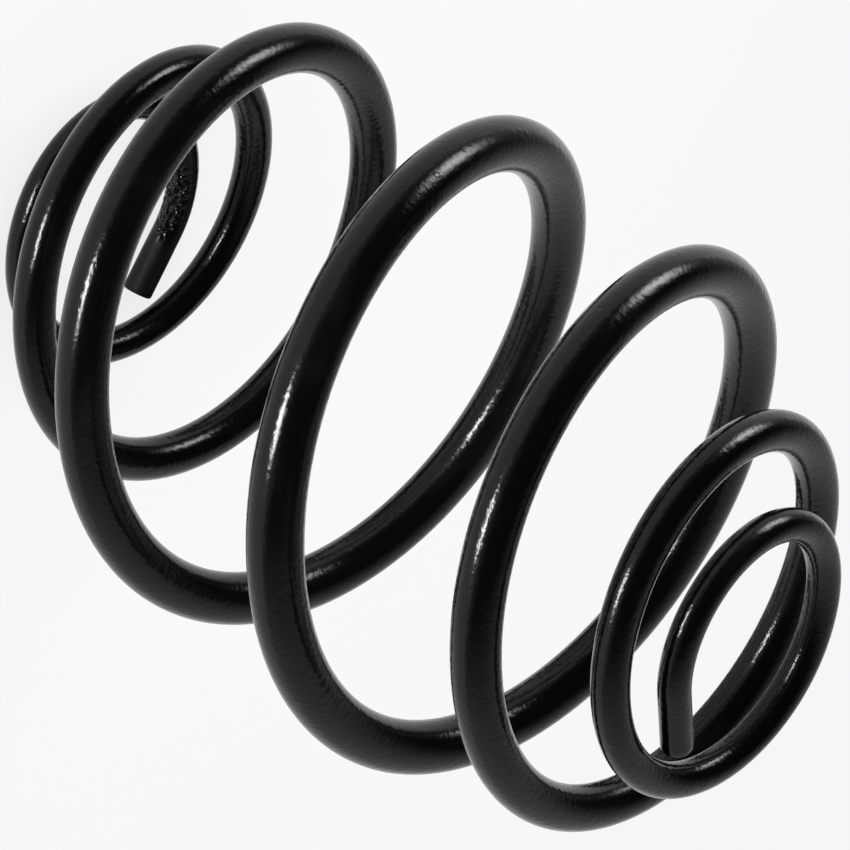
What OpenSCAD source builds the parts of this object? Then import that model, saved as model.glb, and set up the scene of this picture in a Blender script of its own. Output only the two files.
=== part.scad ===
// Suspension spring of the barrel kind: one round bar, tapered to both ends,
// wound right-handed so that the small end turns lie inside the wide middle ones.
// It stands on its lower end turn, with Z up through the centre of that turn.
// Twelve stations share the turns out evenly from the lower end to the upper one,
// six in each half, and a short straight run of bar leads on from each end station.

/* [Bar] */
// Diameter of the bar at the middle of its length, its thickest place
bar_mid_d = 12.5; // [11:0.1:14]
// Diameter of the bar at its two cut ends
bar_end_d = 7.2; // [6.6:0.1:7.8]
// Straight run of bar between each end turn and its cut
tail_length = 16; // [6:0.5:18]
// Chamfer around each cut end
cut_chamfer = 0.6; // [0.2:0.1:1.2]

/* [Spring] */
// Height of the free spring, from the floor to the top of the upper end turn
free_height = 204; // [190:1:220]
// Turns of the coil between its first and last station
turns = 6.62; // [6.5:0.01:6.75]
// Direction in which the upper end station lies, seen from above
upper_end_angle = -41; // [-60:1:0]
// Sideways shift of the upper end turn from the lower one, towards +X
side_shift = 12; // [0:0.5:16]
// Difference between the long and the short diameter of an oval turn, in hundredths
oval_percent = 8; // [0:0.5:10]
// Direction of the long diameter, seen from above
oval_angle = 47; // [30:1:60]

/* [Lower half, mean diameters] */
// Of the lower end turn at its station, beside the cut end
lower_eye_d = 47.5; // [45:0.5:50]
// One station in, still flat on the floor
lower_inner_d = 59.5; // [56.5:0.5:62.5]
// Two stations in, where the bar has left the floor
lower_ring_d = 82; // [78:0.5:86]
// Three stations in, on the flank of the barrel
lower_flank_d = 97; // [92:0.5:102]
// Four stations in, at the shoulder of the barrel
lower_shoulder_d = 120; // [114:0.5:126]
// Five stations in, below the middle of the barrel
lower_body_d = 126; // [119.5:0.5:132.5]

/* [Upper half, mean diameters] */
// Five stations in from the upper end, above the middle of the barrel
upper_body_d = 128.5; // [122:0.5:135]
// Four stations in, at the shoulder of the barrel
upper_shoulder_d = 126; // [119.5:0.5:132.5]
// Three stations in, on the flank of the barrel
upper_flank_d = 101.5; // [96.5:0.5:106.5]
// Two stations in, where the bar has left the top plane
upper_ring_d = 79; // [75:0.5:83]
// One station in, still flat in the top plane
upper_inner_d = 61; // [58:0.5:64]
// Of the upper end turn at its station, beside the cut end
upper_eye_d = 45; // [42.5:0.5:47.5]

/* [Rises between stations] */
// From the lower flat turn to the next station
lower_seat_rise = 11; // [9:0.5:13]
// From there to the lower flank
lower_ring_rise = 15.5; // [12.5:0.5:18.5]
// From the lower flank to the lower shoulder
lower_flank_rise = 17; // [13.5:0.5:20.5]
// From the lower shoulder to the lower body station
lower_shoulder_rise = 36; // [29:0.5:43]
// From the upper body station to the upper shoulder
upper_shoulder_rise = 33; // [26.5:0.5:39.5]
// From the upper shoulder to the upper flank
upper_flank_rise = 25.5; // [20.5:0.5:30.5]
// From the upper flank to the next station
upper_ring_rise = 10.5; // [8.5:0.5:12.5]
// From there to the upper flat turn
upper_seat_rise = 10; // [8:0.5:12]

/* [Hidden] */

coat_colour = [0.1, 0.1, 0.11];
ring_sides = 16;
rings_per_station = 28;
tangent_step = 0.001;

function reversed(list) = [for (k = [len(list) - 1 : -1 : 0]) list[k]];
function total(list, n) = n > 0 ? list[n - 1] + total(list, n - 1) : 0;

// Mean diameter of the coil at each station
lower_ds = [lower_eye_d, lower_inner_d, lower_ring_d,
            lower_flank_d, lower_shoulder_d, lower_body_d];
upper_ds = [upper_eye_d, upper_inner_d, upper_ring_d,
            upper_flank_d, upper_shoulder_d, upper_body_d];
station_ds = concat(lower_ds, reversed(upper_ds));
last_station = len(station_ds) - 1;

// Radius of the bar at a station, whole or broken: a smooth bell from end to end
function bar_r(s) = (bar_end_d + (bar_mid_d - bar_end_d) * pow(sin(180 * s / last_station), 2)) / 2;

// Heights in each half count from its own flat turn, whose bar rests against the end plane,
// and the middle of the barrel takes what is left of the free height
lower_rises = [lower_seat_rise, lower_ring_rise, lower_flank_rise, lower_shoulder_rise];
upper_rises = [upper_seat_rise, upper_ring_rise, upper_flank_rise, upper_shoulder_rise];
function half_zs(rises) =
    concat([bar_r(0)], [for (n = [0 : len(rises)]) bar_r(1) + total(rises, n)]);
station_zs = concat(half_zs(lower_rises),
                    [for (depth = reversed(half_zs(upper_rises))) free_height - depth]);
top_z = station_zs[last_station];

// A smooth curve through values at whole stations that never swings past them
function shared_slope(a, b) = a * b > 0 ? 2 * a * b / (a + b) : 0;
function slope_at(values, k) =
    k == 0 ? values[1] - values[0]
    : k == last_station ? values[k] - values[k - 1]
    : shared_slope(values[k] - values[k - 1], values[k + 1] - values[k]);
function smooth_through(values, s) =
    let (k = max(0, min(floor(s), last_station - 1)))
    let (f = s - k)
    values[k] * (1 + 2 * f) * pow(1 - f, 2)
    + values[k + 1] * pow(f, 2) * (3 - 2 * f)
    + slope_at(values, k) * f * pow(1 - f, 2)
    - slope_at(values, k + 1) * pow(f, 2) * (1 - f);

// Centre line of the coil
function angle_at(s) = upper_end_angle - 360 * turns * (1 - s / last_station);
function outward(a) = [cos(a), sin(a), 0];
function oval_share(a) = 1 + oval_percent / 200 * cos(2 * (a - oval_angle));
function coil_point(s) =
    let (a = angle_at(s))
    let (z = smooth_through(station_zs, s))
    smooth_through(station_ds, s) / 2 * oval_share(a) * outward(a)
    + [side_shift * z / top_z, 0, z];

// Directions along the bar
function unit(v) = v / norm(v);
function level(v) = unit([v[0], v[1], 0]);
function along(s) = unit(coil_point(s + tangent_step) - coil_point(s - tangent_step));

// One ring of the bar's skin: its centre, the bar's direction, the way outward and the radius
function ring(centre, forward, out, r) =
    let (up = unit(cross(forward, out)))
    let (side = cross(up, forward))
    [for (j = [0 : ring_sides - 1])
        let (b = 360 * j / ring_sides)
        centre + r * (cos(b) * side + sin(b) * up)];
function coil_ring(s) = ring(coil_point(s), along(s), outward(angle_at(s)), bar_r(s));

// A ring on the straight and level run at an end station, some way along it from the station,
// set in from the bar's own skin where the cut end is chamfered
function tail_ring(s, way_on, set_in) =
    let (way = level(along(s)))
    ring(coil_point(s) + way_on * way, way, outward(angle_at(s)), bar_r(s) - set_in);

rings = concat(
    [tail_ring(0, -tail_length, cut_chamfer)],
    [tail_ring(0, cut_chamfer - tail_length, 0)],
    [for (k = [0 : last_station * rings_per_station]) coil_ring(k / rings_per_station)],
    [tail_ring(last_station, tail_length - cut_chamfer, 0)],
    [tail_ring(last_station, tail_length, cut_chamfer)]);

// Skins a row of rings and closes both ends
module swept_bar(rows) {
    n = ring_sides;
    last = len(rows) - 1;
    points = [for (row = rows) for (p = row) p];
    skin = [for (i = [0 : last - 1]) for (j = [0 : n - 1])
        let (a = i * n + j)
        let (b = i * n + (j + 1) % n)
        each [[a, a + n, b], [b, a + n, b + n]]];
    start_cap = [for (j = [0 : n - 1]) j];
    end_cap = [for (j = [n - 1 : -1 : 0]) last * n + j];
    polyhedron(points, concat([start_cap], skin, [end_cap]), convexity = 12);
}

module coil_spring() {
    color(coat_colour) swept_bar(rings);
}

coil_spring();
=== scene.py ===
"""Looks of a barrel-shaped coil suspension spring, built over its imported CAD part.

The spring is one tapered steel bar with a glossy black coat. It stands on its lower
end turn on a pale studio floor. Lengths are in metres and angles in degrees.
"""
import logging
import math
from dataclasses import dataclass, field
from enum import Enum

import bmesh
import bpy
from mathutils import Matrix, Vector, noise


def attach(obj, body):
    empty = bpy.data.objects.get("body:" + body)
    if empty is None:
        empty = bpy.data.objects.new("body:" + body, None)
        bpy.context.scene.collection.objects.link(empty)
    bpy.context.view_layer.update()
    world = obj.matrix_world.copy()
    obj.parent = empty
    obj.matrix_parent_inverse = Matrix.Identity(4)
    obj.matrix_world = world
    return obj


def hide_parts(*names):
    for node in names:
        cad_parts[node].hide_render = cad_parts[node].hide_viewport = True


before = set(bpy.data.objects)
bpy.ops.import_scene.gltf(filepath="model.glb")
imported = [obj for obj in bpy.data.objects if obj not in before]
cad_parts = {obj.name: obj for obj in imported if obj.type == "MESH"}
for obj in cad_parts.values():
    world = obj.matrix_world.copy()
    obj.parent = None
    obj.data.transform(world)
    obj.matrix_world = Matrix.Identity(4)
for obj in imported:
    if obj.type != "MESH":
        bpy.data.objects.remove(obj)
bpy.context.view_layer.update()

log = logging.getLogger("suspension_spring")
MM = 0.001


@dataclass(frozen=True)
class Wire:
    """One output of a shader node; arithmetic on it adds the Math nodes."""

    graph: "Graph"
    socket: bpy.types.NodeSocket

    def maths(self, operation: str, *values: "Wire | float") -> "Wire":
        """Adds a Math node of this operation and returns its output."""
        return self.graph.add("ShaderNodeMath", {"operation": operation}, dict(enumerate(values)))

    def __add__(self, other: "Wire | float") -> "Wire":
        """Returns self + other."""
        return self.maths("ADD", self, other)

    def __sub__(self, other: "Wire | float") -> "Wire":
        """Returns self - other."""
        return self.maths("SUBTRACT", self, other)

    def __rsub__(self, other: float) -> "Wire":
        """Returns other - self."""
        return self.maths("SUBTRACT", other, self)

    def __mul__(self, other: "Wire | float") -> "Wire":
        """Returns self * other."""
        return self.maths("MULTIPLY", self, other)

    __radd__ = __add__
    __rmul__ = __mul__

    def ramp(self, low: float, high: float, start: float = 0.0, end: float = 1.0) -> "Wire":
        """Turns the span from low to high smoothly into start to end, and holds it outside.

        Args:
            low: The value that becomes start.
            high: The value that becomes end.
            start: What the result is at low and below.
            end: What the result is at high and above.

        Returns:
            The mapped value.
        """
        settings = {"interpolation_type": "SMOOTHSTEP"}
        values = {"Value": self, "From Min": low, "From Max": high, "To Min": start, "To Max": end}
        return self.graph.add("ShaderNodeMapRange", settings, values)


class Graph:
    """The node tree of a material, a lamp or a world."""

    def __init__(self, owner: "bpy.types.Material | bpy.types.Light | bpy.types.World") -> None:
        """Empties the owner's node tree and keeps it."""
        owner.use_nodes = True
        self.tree = owner.node_tree
        self.tree.nodes.clear()

    def add(self, kind: str, settings: dict | None = None, inputs: dict | None = None,
            output: "int | str" = 0) -> Wire:
        """Adds a node.

        Args:
            kind: The node's type.
            settings: Its own properties, which are set first.
            inputs: Values or wires, by the socket's name or number.
            output: Which output is returned.

        Returns:
            That output.
        """
        node = self.tree.nodes.new(kind)
        for name, value in (settings or {}).items():
            setattr(node, name, value)
        for name, value in (inputs or {}).items():
            if isinstance(value, Wire):
                self.tree.links.new(value.socket, node.inputs[name])
            else:
                node.inputs[name].default_value = value
        return Wire(self, node.outputs[output])

    def close(self, kind: str, surface: Wire) -> None:
        """Links a finished shader to an output node of this kind."""
        output = self.tree.nodes.new(kind)
        self.tree.links.new(surface.socket, output.inputs["Surface"])

    def noise(self, place: Wire, grain: tuple[float, float, float], detail: float = 2.0) -> Wire:
        """Adds a noise pattern.

        Args:
            place: The coordinates that it is laid on.
            grain: The size of one blotch along each coordinate.
            detail: How many finer layers are added.

        Returns:
            The pattern, from 0 to 1 and mostly near a half.
        """
        scale = tuple(1 / g for g in grain)
        spread = self.add("ShaderNodeMapping", {"vector_type": "POINT"},
                          {"Vector": place, "Scale": scale})
        return self.add("ShaderNodeTexNoise", inputs={
            "Vector": spread, "Scale": 1.0, "Detail": detail})

    def ray_kinds(self) -> tuple[Wire, Wire]:
        """Tells apart the rays that show the background.

        Returns:
            1 for rays from the camera, and 1 for rays off gloss or through glass; 0 for others.
        """
        path = self.tree.nodes.new("ShaderNodeLightPath")
        camera, gloss, glass = (Wire(self, path.outputs[f"Is {name} Ray"])
                                for name in ("Camera", "Glossy", "Transmission"))
        return camera, gloss.maths("MAXIMUM", gloss, glass)


@dataclass(frozen=True)
class BarPatch:
    """A spot on the bar's skin, placed on the straightened bar.

    It lies some way along the bar from the lower cut, on a bearing round a bar of this radius,
    and fades from its solid middle part to its rim.
    """

    along: float
    bearing: float
    bar_radius: float
    half_length: float
    half_width: float
    solid: float = 0.6

    def middle(self) -> Vector:
        """Returns the spot's middle on the straightened bar."""
        angle = math.radians(self.bearing)
        x, y = self.bar_radius * math.cos(angle), self.bar_radius * math.sin(angle)
        return Vector((x, y, self.along))

    def reach(self) -> Vector:
        """Returns how far the spot goes from its middle, across the bar and along it."""
        return Vector((self.half_width, self.half_width, self.half_length))

    def share(self, place: Vector) -> float:
        """Works out in Python what mask gives.

        Args:
            place: One place on the straightened bar.

        Returns:
            1 in the middle of the spot and 0 outside it.
        """
        gaps = place - self.middle()
        size = Vector(gap / reach for gap, reach in zip(gaps, self.reach())).length
        fall = min(max((1 - size) / (1 - self.solid), 0.0), 1.0)
        return fall * fall * (3 - 2 * fall)

    def mask(self, graph: Graph, place: Wire) -> Wire:
        """Adds the spot's mask.

        Args:
            graph: The coat's node tree.
            place: The skin's place on the straightened bar.

        Returns:
            1 in the middle of the spot and 0 outside it.
        """
        gap = graph.add("ShaderNodeVectorMath", {"operation": "SUBTRACT"},
                        {0: place, 1: self.middle()})
        share = graph.add("ShaderNodeVectorMath", {"operation": "DIVIDE"},
                          {0: gap, 1: self.reach()})
        size = graph.add("ShaderNodeVectorMath", {"operation": "LENGTH"}, {0: share},
                         output="Value")
        return size.ramp(self.solid, 1.0, 1.0, 0.0)


@dataclass(frozen=True)
class SpringCoat:
    """Glossy black coat on steel: faint dusty blotches, fine peel, cross ripples and nicks.

    A grain is the size of one blotch across, across and along the bar.
    """

    colour: tuple[float, float, float, float] = (0.0018, 0.0018, 0.0025, 1.0)
    dust_colour: tuple[float, float, float, float] = (0.004, 0.004, 0.004, 1.0)
    dust_span: tuple[float, float] = (0.5, 0.75)
    ior: float = 1.33
    roughness: float = 0.16
    roughness_swing: float = 0.08
    blotch_grain: tuple[float, float, float] = (9 * MM, 9 * MM, 22 * MM)
    peel_grain: tuple[float, float, float] = (1.4 * MM, 1.4 * MM, 1.4 * MM)
    peel_depth: float = 0.1 * MM
    ripple_grain: tuple[float, float, float] = (2.2 * MM, 2.2 * MM, 0.6 * MM)
    ripple_depth: float = 0.018 * MM
    dull_end: BarPatch = BarPatch(2 * MM, -163, 3.6 * MM, half_length=15 * MM,
                                  half_width=14 * MM)
    dullness: float = 0.4
    nick_depth: float = 0.4 * MM
    nicks: tuple[BarPatch, ...] = (
        BarPatch(992.3 * MM, -38, 6.25 * MM, half_length=0.5 * MM, half_width=0.5 * MM),
        BarPatch(1011.6 * MM, -41, 6.25 * MM, half_length=0.8 * MM, half_width=0.8 * MM),
        BarPatch(1372.0 * MM, -131, 5.75 * MM, half_length=0.5 * MM, half_width=0.5 * MM),
        BarPatch(1374.3 * MM, -129, 5.74 * MM, half_length=0.5 * MM, half_width=0.6 * MM),
        BarPatch(1418.9 * MM, 7, 5.63 * MM, half_length=0.6 * MM, half_width=0.6 * MM),
        BarPatch(1697.6 * MM, -94, 4.59 * MM, half_length=0.4 * MM, half_width=1.2 * MM),
    )

    def material(self) -> bpy.types.Material:
        """Returns the coat's finished material."""
        material = bpy.data.materials.new("spring_coat")
        graph = Graph(material)
        place = graph.add("ShaderNodeAttribute", {"attribute_name": "bar_place"}, output="Vector")
        blotches = graph.noise(place, self.blotch_grain, detail=3)
        peel = graph.noise(place, self.peel_grain, detail=3)
        ripple = graph.noise(place, self.ripple_grain, detail=1)
        nicked = sum(nick.mask(graph, place) for nick in self.nicks)

        height = peel * self.peel_depth + ripple * self.ripple_depth - nicked * self.nick_depth
        bump = graph.add("ShaderNodeBump", output="Normal", inputs={
            "Strength": 1.0, "Distance": 1.0, "Height": height})
        dusty = blotches.ramp(*self.dust_span)
        colour = graph.add("ShaderNodeMix", {"data_type": "RGBA"},
                           {0: dusty, 6: self.colour, 7: self.dust_colour}, output=2)
        roughness = (self.roughness + (blotches - 0.5) * self.roughness_swing
                     + self.dull_end.mask(graph, place) * self.dullness)
        skin = graph.add("ShaderNodeBsdfPrincipled", inputs={
            "Base Color": colour, "Roughness": roughness, "IOR": self.ior, "Normal": bump})
        graph.close("ShaderNodeOutputMaterial", skin)
        return material


@dataclass(frozen=True)
class CoarseSpot:
    """A spot where the coat has set in small domes, which swell by a share of their width.

    The crest is that height's share which stands proud of the bar; the seams lie below it.
    """

    spot: BarPatch = BarPatch(26.5 * MM, -165, 3.6 * MM, half_length=14.5 * MM,
                              half_width=4.2 * MM)
    dome: float = 1.6 * MM
    swell: float = 0.75
    crest: float = 0.25
    lengthwise_cuts: int = 2
    fine_cuts: int = 3

    def raise_domes(self, bm: bmesh.types.BMesh, ring_gap: float) -> None:
        """Cuts the skin finely inside the spot and swells it into domes.

        Args:
            bm: The bar, with its places on the straightened bar in the layer bar_place.
            ring_gap: How far its rings lie from one another.
        """
        place = bm.verts.layers.float_vector["bar_place"]
        self.cut(bm, self.lengthwise_cuts, place, ring_gap / 2)
        self.cut(bm, self.fine_cuts, place, 0.0)
        bm.normal_update()
        moves = []
        for vert in bm.verts:
            share = self.spot.share(vert[place])
            if share:
                gap = noise.voronoi(vert[place] / self.dome)[0][0]
                rise = share * self.dome * self.swell * (self.crest - gap * gap)
                moves.append((vert, vert.normal * rise))
        for vert, move in moves:
            vert.co += move

    def cut(self, bm: bmesh.types.BMesh, cuts: int, place: bmesh.types.BMLayerItem,
            least: float) -> None:
        """Subdivides the faces in the spot.

        Args:
            bm: The bar.
            cuts: How many cuts each edge gets.
            place: The layer of places on the straightened bar.
            least: Only edges that go this far along the bar, or further, are cut.
        """
        faces = [f for f in bm.faces if any(self.spot.share(v[place]) for v in f.verts)]
        edges = dict.fromkeys(e for f in faces for e in f.edges
                              if abs(e.verts[0][place].z - e.verts[1][place].z) >= least)
        bmesh.ops.subdivide_edges(bm, edges=list(edges), cuts=cuts, use_grid_fill=True)


class BarEnd(Enum):
    """The two ends of the bar; the value is the way that its straight run leads along the bar."""

    LOWER = -1
    UPPER = 1


@dataclass
class CoilSpring:
    """The spring: one tapered bar wound along twelve stations that share the turns evenly.

    Mean diameters and rises are listed from each end turn towards the middle.
    """

    bar_mid_d: float = 12.5 * MM
    bar_end_d: float = 7.2 * MM
    cut_edge: float = 0.6 * MM
    tail_length: float = 16 * MM
    free_height: float = 204 * MM
    turns: float = 6.62
    upper_end_angle: float = -41.0
    lower_ds: tuple[float, ...] = (47.5 * MM, 59.5 * MM, 82 * MM, 97 * MM, 120 * MM, 126 * MM)
    upper_ds: tuple[float, ...] = (45 * MM, 61 * MM, 79 * MM, 101.5 * MM, 126 * MM, 128.5 * MM)
    lower_rises: tuple[float, ...] = (11 * MM, 15.5 * MM, 17 * MM, 36 * MM)
    upper_rises: tuple[float, ...] = (10 * MM, 10.5 * MM, 25.5 * MM, 33 * MM)
    side_shift: float = 12 * MM
    oval_share: float = 0.08
    oval_angle: float = 47.0
    sides: int = 36
    ring_gap: float = 2 * MM
    edge_steps: int = 3
    coarse: CoarseSpot = field(default_factory=CoarseSpot)
    coat: SpringCoat = field(default_factory=SpringCoat)

    def __post_init__(self) -> None:
        """Works out the diameters and heights of the stations, from the lower end up."""
        self.station_ds = [*self.lower_ds, *reversed(self.upper_ds)]
        self.last = len(self.station_ds) - 1
        heights = self.half_heights(self.lower_rises)
        depths = reversed(self.half_heights(self.upper_rises))
        self.station_zs = [*heights, *(self.free_height - depth for depth in depths)]

    def half_heights(self, rises: tuple[float, ...]) -> list[float]:
        """Returns how far the stations of one half lie from that half's end plane."""
        flat = self.bar_radius(1)
        return [self.bar_radius(0), *(flat + sum(rises[:n]) for n in range(len(rises) + 1))]

    def bar_radius(self, station: float) -> float:
        """Returns the bar's radius at a station, whole or broken."""
        bell = math.sin(math.pi * min(max(station, 0), self.last) / self.last) ** 2
        return (self.bar_end_d + (self.bar_mid_d - self.bar_end_d) * bell) / 2

    def between(self, values: "tuple[float, ...] | list[float]", station: float) -> float:
        """Reads a smooth curve through values that are given at whole stations.

        Args:
            values: One value for each station.
            station: Where the curve is read.

        Returns:
            Its value there. The curve never swings past the given ones.
        """
        rises = [b - a for a, b in zip(values, values[1:])]
        shared = (2 * a * b / (a + b) if a * b > 0 else 0.0 for a, b in zip(rises, rises[1:]))
        slopes = [rises[0], *shared, rises[-1]]
        k = max(0, min(math.floor(station), self.last - 1))
        f = station - k
        return (values[k] * (1 + 2 * f) * (1 - f) ** 2 + values[k + 1] * f * f * (3 - 2 * f)
                + slopes[k] * f * (1 - f) ** 2 - slopes[k + 1] * f * f * (1 - f))

    def outward(self, station: float) -> Vector:
        """Returns the level direction from the coil's middle to the bar at a station."""
        angle = math.radians(self.bearing(station))
        return Vector((math.cos(angle), math.sin(angle), 0))

    def bearing(self, station: float) -> float:
        """Returns the direction of the bar as seen from the coil's middle, in degrees."""
        return self.upper_end_angle - 360 * self.turns * (1 - station / self.last)

    def centre(self, station: float) -> Vector:
        """Returns a point of the bar's centre line."""
        twist = math.radians(self.bearing(station) - self.oval_angle)
        oval = 1 + self.oval_share / 2 * math.cos(2 * twist)
        radius = self.between(self.station_ds, station) / 2 * oval
        z = self.between(self.station_zs, station)
        shift = self.side_shift * z / self.station_zs[-1]
        return radius * self.outward(station) + Vector((shift, 0, z))

    def along(self, station: float) -> Vector:
        """Returns the bar's own direction at a station."""
        step = 0.001
        return (self.centre(station + step) - self.centre(station - step)).normalized()

    @staticmethod
    def seat(centre: Vector, forward: Vector, outward: Vector, radius: float) -> Matrix:
        """Works out where a ring of the bar lies.

        Args:
            centre: The ring's centre.
            forward: The bar's direction there.
            outward: The way out from the coil's middle.
            radius: The ring's radius.

        Returns:
            The matrix that takes a level ring of radius 1 round the origin to its place.
        """
        up = forward.cross(outward).normalized()
        side = up.cross(forward)
        turn = Matrix((side, up, forward)).transposed().to_4x4()
        return Matrix.Translation(centre) @ turn @ Matrix.Scale(radius, 4)

    def tail_seats(self, end: BarEnd) -> list[Matrix]:
        """Lays out the rings of a straight, level run.

        Args:
            end: The end of the bar that it leads to.

        Returns:
            The rings' matrices, from the end station to the cut.
        """
        station = 0 if end is BarEnd.LOWER else self.last
        along = self.along(station)
        way = Vector((along.x, along.y, 0)).normalized()
        steps = max(2, round(self.tail_length / self.ring_gap))
        reaches = (end.value * self.tail_length * (i + 1) / steps for i in range(steps))
        return [self.seat(self.centre(station) + reach * way, way, self.outward(station),
                          self.bar_radius(station)) for reach in reaches]

    def seats(self) -> list[Matrix]:
        """Lays out all the rings, from the lower cut to the upper one."""
        length = self.turns * math.pi * sum(self.station_ds) / len(self.station_ds)
        steps = math.ceil(length / self.ring_gap)
        coil = [self.seat(self.centre(s), self.along(s), self.outward(s), self.bar_radius(s))
                for s in (self.last * i / steps for i in range(steps + 1))]
        return [*reversed(self.tail_seats(BarEnd.LOWER)), *coil, *self.tail_seats(BarEnd.UPPER)]

    def build(self) -> bpy.types.Object:
        """Models the bar by extruding one ring from cut to cut.

        Returns:
            The spring's object, at the origin.
        """
        bm = bmesh.new()
        place = bm.verts.layers.float_vector.new("bar_place")
        ring = bmesh.ops.create_circle(bm, segments=self.sides, radius=1.0)["verts"]
        edges = bm.edges[:]
        distance, before = 0.0, Matrix.Identity(4)
        for number, matrix in enumerate(self.seats()):
            if number:
                grown = bmesh.ops.extrude_edge_only(bm, edges=edges)["geom"]
                ring = [g for g in grown if isinstance(g, bmesh.types.BMVert)]
                edges = [g for g in grown if isinstance(g, bmesh.types.BMEdge)]
                distance += (matrix.translation - before.translation).length
            bmesh.ops.transform(bm, matrix=matrix @ before.inverted(), verts=ring)
            radius = matrix.median_scale
            for vert in ring:
                spot = matrix.inverted() @ vert.co
                vert[place] = (spot.x * radius, spot.y * radius, distance)
            before = matrix
        log.info("bar: %d rings, %.3f m long", number + 1, distance)
        return self.finished(bm)

    def finished(self, bm: bmesh.types.BMesh) -> bpy.types.Object:
        """Closes both ends, rounds the cut edges, raises the coarse spot and makes the object."""
        rims = [e for e in bm.edges if e.is_boundary]
        bmesh.ops.holes_fill(bm, edges=rims, sides=self.sides)
        bmesh.ops.bevel(bm, geom=rims, offset=self.cut_edge, affect="EDGES",
                        segments=self.edge_steps, profile=0.5, material=-1, clamp_overlap=True)
        bmesh.ops.recalc_face_normals(bm, faces=bm.faces[:])
        for face in bm.faces:
            face.smooth = len(face.verts) < self.sides
        self.coarse.raise_domes(bm, self.ring_gap)
        many_sided = [f for f in bm.faces if 4 < len(f.verts) < self.sides]
        bmesh.ops.triangulate(bm, faces=many_sided, quad_method="BEAUTY", ngon_method="BEAUTY")
        mesh = bpy.data.meshes.new("coated_spring")
        bm.to_mesh(mesh)
        bm.free()
        spring = bpy.data.objects.new("coated_spring", mesh)
        bpy.context.scene.collection.objects.link(spring)
        return spring

    def dress(self, spring: bpy.types.Object) -> None:
        """Coats the spring and ties it to the frame."""
        spring.data.materials.append(self.coat.material())
        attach(spring, "root")
        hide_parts("coil_spring")


@dataclass(frozen=True)
class Softbox:
    """A rectangular studio lamp that faces the spring, brightest in its middle."""

    name: str
    azimuth: float
    elevation: float
    distance: float
    width: float
    height: float
    brightness: float
    spread: float
    core: float = 0.0

    def grade(self, light: bpy.types.AreaLight) -> None:
        """Fades the lamp's cloth from its bright core to its edges."""
        graph = Graph(light)
        spot = graph.add("ShaderNodeNewGeometry", output="Parametric")
        middle, edge = (0.5, 0.5, 0.0), 0.5
        off_centre = graph.add("ShaderNodeVectorMath", {"operation": "DISTANCE"},
                               {0: spot, 1: middle}, output="Value")
        fade = off_centre.ramp(edge * self.core, edge, 1.0, 0.0)
        glow = graph.add("ShaderNodeEmission", inputs={
            "Color": (1, 1, 1, 1), "Strength": fade * fade})
        graph.close("ShaderNodeOutputLight", glow)

    def build(self, target: Vector) -> bpy.types.Object:
        """Hangs the lamp.

        Args:
            target: The point that it faces.

        Returns:
            The lamp's object. Where its cloth has brightness 1 it looks as white as paper.
        """
        az, el = math.radians(self.azimuth), math.radians(self.elevation)
        way = Vector((math.sin(az) * math.cos(el), math.cos(az) * math.cos(el), math.sin(el)))
        light = bpy.data.lights.new(self.name, "AREA")
        light.shape = "RECTANGLE"
        light.size, light.size_y = self.width, self.height
        half = math.radians(self.spread / 2)
        light.spread = 2 * half
        focus = math.tan(half) / (math.tan(half) - half)
        light.energy = self.brightness * math.pi * self.width * self.height / focus
        self.grade(light)
        lamp = bpy.data.objects.new(self.name, light)
        lamp.location = target + way * self.distance
        lamp.rotation_mode = "QUATERNION"
        lamp.rotation_quaternion = (-way).to_track_quat("-Z", "Y")
        bpy.context.scene.collection.objects.link(lamp)
        return lamp


@dataclass(frozen=True)
class FloorPaint:
    """White studio floor: it shows white, and keeps the spring's shadow."""

    colour: tuple[float, float, float, float] = (0.85, 0.85, 0.85, 1.0)
    lift: float = 0.8

    def material(self) -> bpy.types.Material:
        """Builds the floor's material."""
        material = bpy.data.materials.new("studio_floor")
        graph = Graph(material)
        paint = graph.add("ShaderNodeBsdfDiffuse", inputs={"Color": self.colour})
        white = graph.add("ShaderNodeEmission", inputs={"Color": (1, 1, 1, 1), "Strength": 1.0})
        camera, mirrored = graph.ray_kinds()
        mixed = graph.add("ShaderNodeMixShader", inputs={
            0: (camera + mirrored) * self.lift, 1: paint, 2: white})
        graph.close("ShaderNodeOutputMaterial", mixed)
        return material


@dataclass(frozen=True)
class StudioRoom:
    """The room round the floor: a white backdrop behind, and dim walls towards the camera."""

    backdrop_azimuth: float = 42.0
    backdrop_elevation: float = 3.0
    backdrop: float = 0.75
    backdrop_span: tuple[float, float] = (0.05, 0.9)
    dim: float = 0.0
    skirting: float = 0.35
    skirting_top: float = 0.4
    ambient: float = 0.7

    def build(self) -> None:
        """Sets the scene's world."""
        world = bpy.data.worlds.new("studio_room")
        bpy.context.scene.world = world
        graph = Graph(world)
        camera, mirrored = graph.ray_kinds()
        az, el = math.radians(self.backdrop_azimuth), math.radians(self.backdrop_elevation)
        towards = (math.sin(az) * math.cos(el), math.cos(az) * math.cos(el), math.sin(el))
        look = graph.add("ShaderNodeTexCoord", output="Generated")
        facing = graph.add("ShaderNodeVectorMath", {"operation": "DOT_PRODUCT"},
                           {0: look, 1: towards}, output="Value")
        height = graph.add("ShaderNodeSeparateXYZ", inputs={0: look}, output="Z")
        walls = facing.ramp(*self.backdrop_span, self.dim, self.backdrop)
        low_glow = height.ramp(0.0, self.skirting_top, self.skirting, 0.0)
        room = walls.maths("MAXIMUM", walls, low_glow)
        level = self.ambient + mirrored * (room - self.ambient) + camera * (1.0 - self.ambient)
        air = graph.add("ShaderNodeBackground", inputs={"Color": (1, 1, 1, 1), "Strength": level})
        graph.close("ShaderNodeOutputWorld", air)


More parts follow.
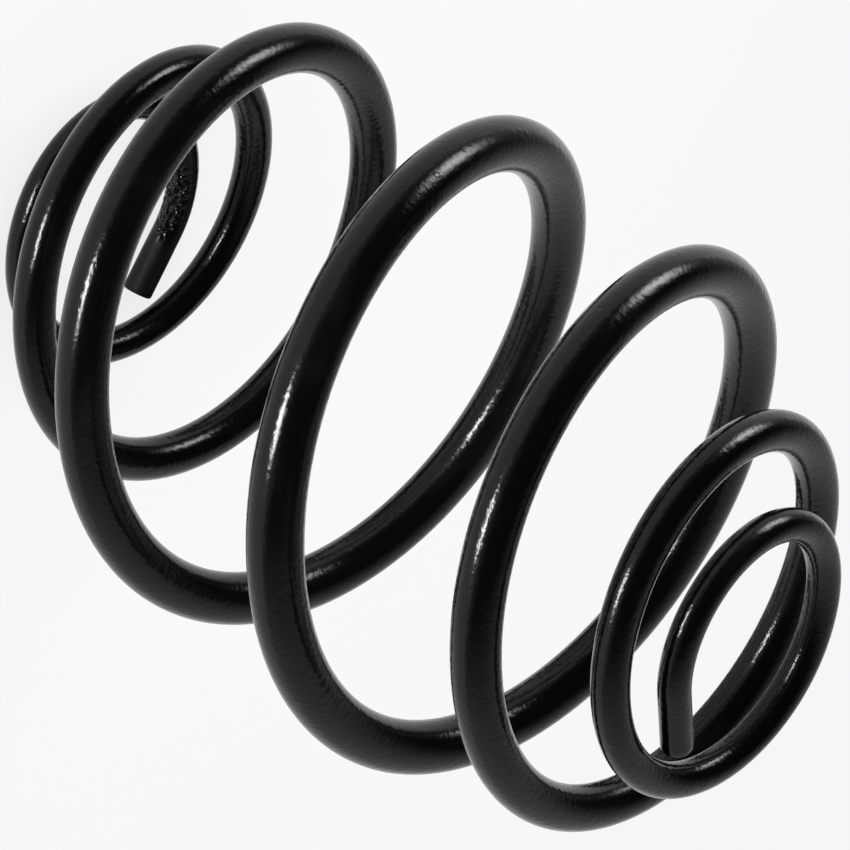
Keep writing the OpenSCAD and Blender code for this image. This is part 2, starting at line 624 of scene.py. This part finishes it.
@dataclass(frozen=True)
class PhotoCamera:
    """The camera, placed as the photograph was taken."""

    eye: tuple[float, float, float] = (3.05 * MM, -904.88 * MM, 656.66 * MM)
    aim: tuple[float, float, float] = (6.19 * MM, 6.45 * MM, 102.37 * MM)
    roll: float = 120.336
    lens: float = 203.377
    sensor: float = 36.0
    clip: tuple[float, float] = (0.05, 50.0)

    def build(self) -> bpy.types.Object:
        """Makes the camera and gives it to the scene."""
        data = bpy.data.cameras.new("photo_camera")
        data.sensor_width = self.sensor
        data.lens = self.lens
        data.clip_start, data.clip_end = self.clip
        camera = bpy.data.objects.new("photo_camera", data)
        sight = Vector(self.aim) - Vector(self.eye)
        camera.location = self.eye
        camera.rotation_mode = "QUATERNION"
        roll = Matrix.Rotation(math.radians(self.roll), 3, "Z")
        turn = sight.to_track_quat("-Z", "Y").to_matrix() @ roll
        camera.rotation_quaternion = turn.to_quaternion()
        bpy.context.scene.collection.objects.link(camera)
        bpy.context.scene.camera = camera
        return camera


@dataclass
class Studio:
    """Floor, room, lamps and camera."""

    floor_half: float = 4.0
    target: tuple[float, float, float] = (6 * MM, 0, 100 * MM)
    paint: FloorPaint = field(default_factory=FloorPaint)
    room: StudioRoom = field(default_factory=StudioRoom)
    camera: PhotoCamera = field(default_factory=PhotoCamera)
    lamps: tuple[Softbox, ...] = (
        Softbox("front_softbox", azimuth=156, elevation=-5, distance=0.5, width=0.28, height=0.12,
                brightness=80, spread=58, core=0.55),
        Softbox("side_softbox", azimuth=-84, elevation=22, distance=0.5, width=0.56, height=0.36,
                brightness=21, spread=84),
    )

    def build(self) -> bpy.types.Object:
        """Sets up the studio and returns its floor."""
        bm = bmesh.new()
        bmesh.ops.create_grid(bm, x_segments=1, y_segments=1, size=self.floor_half)
        mesh = bpy.data.meshes.new("studio_floor")
        bm.to_mesh(mesh)
        bm.free()
        floor = bpy.data.objects.new("studio_floor", mesh)
        floor.data.materials.append(self.paint.material())
        bpy.context.scene.collection.objects.link(floor)
        for lamp in self.lamps:
            lamp.build(Vector(self.target))
        self.room.build()
        self.camera.build()
        return floor


def main() -> None:
    """Builds the spring and the studio, and sets the view transform."""
    logging.basicConfig(level=logging.INFO, format="%(name)s: %(message)s")
    coil = CoilSpring()
    spring = coil.build()
    coil.dress(spring)
    log.info("%s: %d faces", spring.name, len(spring.data.polygons))
    studio = Studio()
    log.info("%s and %d lamps", studio.build().name, len(studio.lamps))
    bpy.context.scene.view_settings.view_transform = "Standard"


if __name__ == "__main__":
    main()
